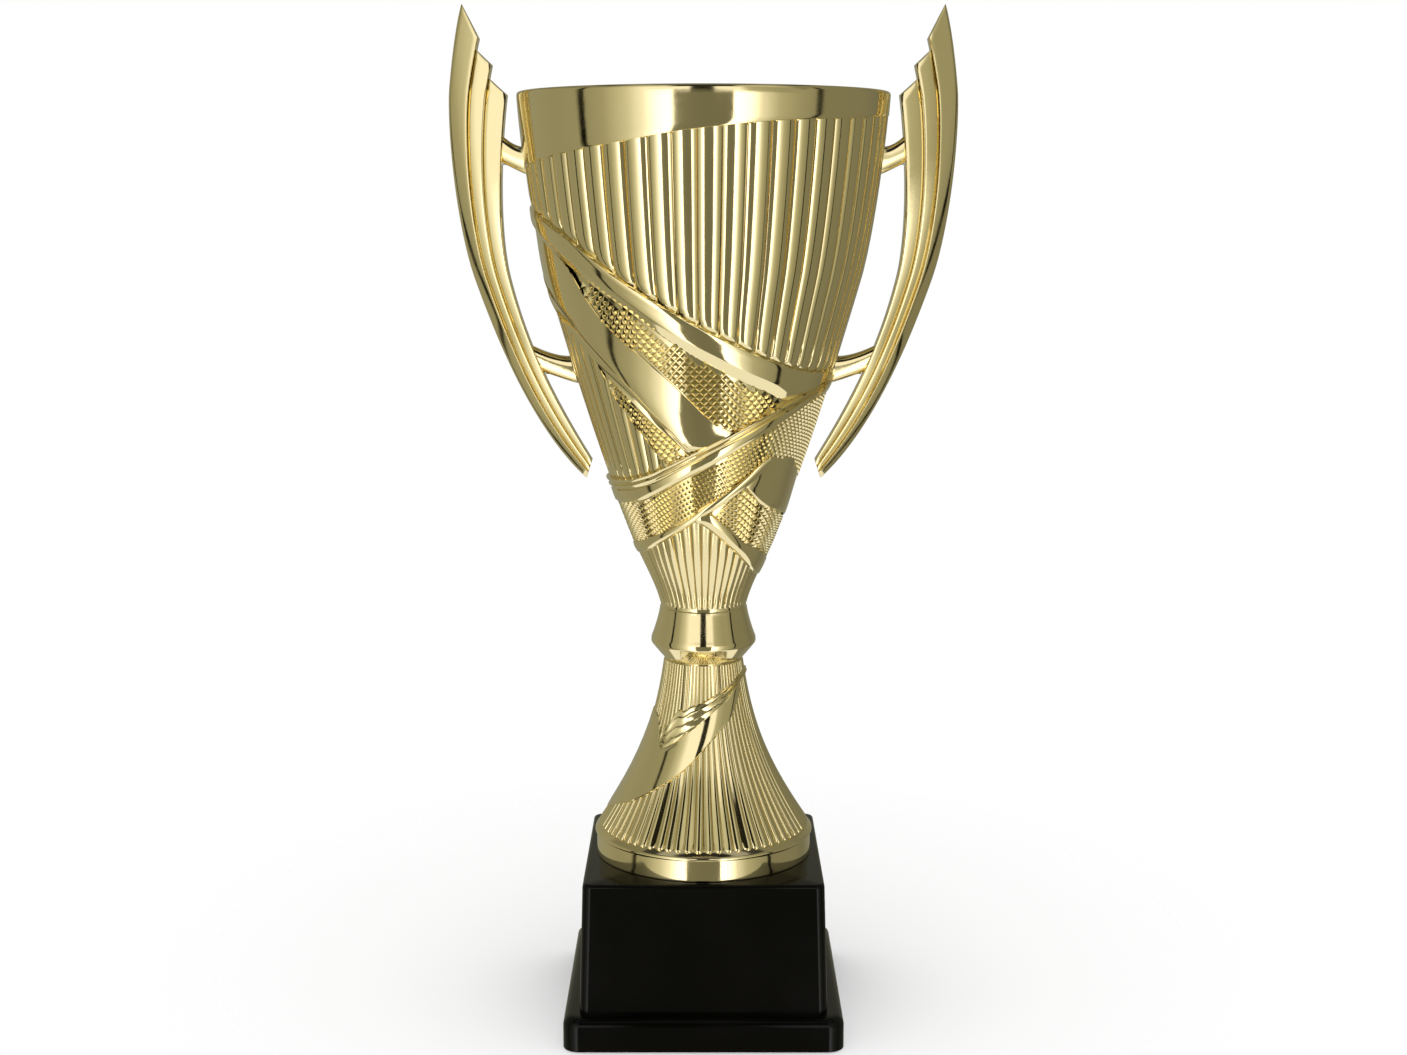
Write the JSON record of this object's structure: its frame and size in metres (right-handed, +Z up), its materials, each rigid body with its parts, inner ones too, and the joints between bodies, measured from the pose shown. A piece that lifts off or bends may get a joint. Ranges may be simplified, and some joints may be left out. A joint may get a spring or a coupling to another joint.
{
  "type": "cup trophy",
  "caption": "Tall gold cup trophy: a tapered bowl with reeds and crossed ribbons, bladed side handles, a waisted knop and fluted stem on a black stepped base.",
  "frame": {"origin": "under the middle of the base, on the surface that the trophy stands on", "axes": "+Z up along the tie rod, +X towards the right handle, -Y towards the front of the bowl's relief"},
  "size_m": [0.1648, 0.1206, 0.3365],
  "materials": {
    "gold_metallised": "mirror-bright champagne gold vacuum metallising over moulded plastic",
    "black_gloss": "polished black moulded plastic",
    "zinc_steel": "zinc-plated steel",
    "raw_iron": "bare cast iron",
    "fibreboard": "plain hardboard",
    "felt": "self-adhesive wool felt"
  },
  "bodies": {
    "root": {"bowl": "gold_metallised", "handle_left": "gold_metallised", "handle_right": "gold_metallised", "handle_screws": "zinc_steel", "handle_washers": "zinc_steel", "top_nut": "zinc_steel", "top_washer": "zinc_steel", "tie_rod": "zinc_steel", "knop": "gold_metallised", "stem_foot": "gold_metallised", "base_shell": "black_gloss", "ballast_plate": "raw_iron", "bottom_washer": "zinc_steel", "bottom_nut": "zinc_steel", "base_cover": "fibreboard", "felt_pad": "felt"}
  },
  "joints": []
}
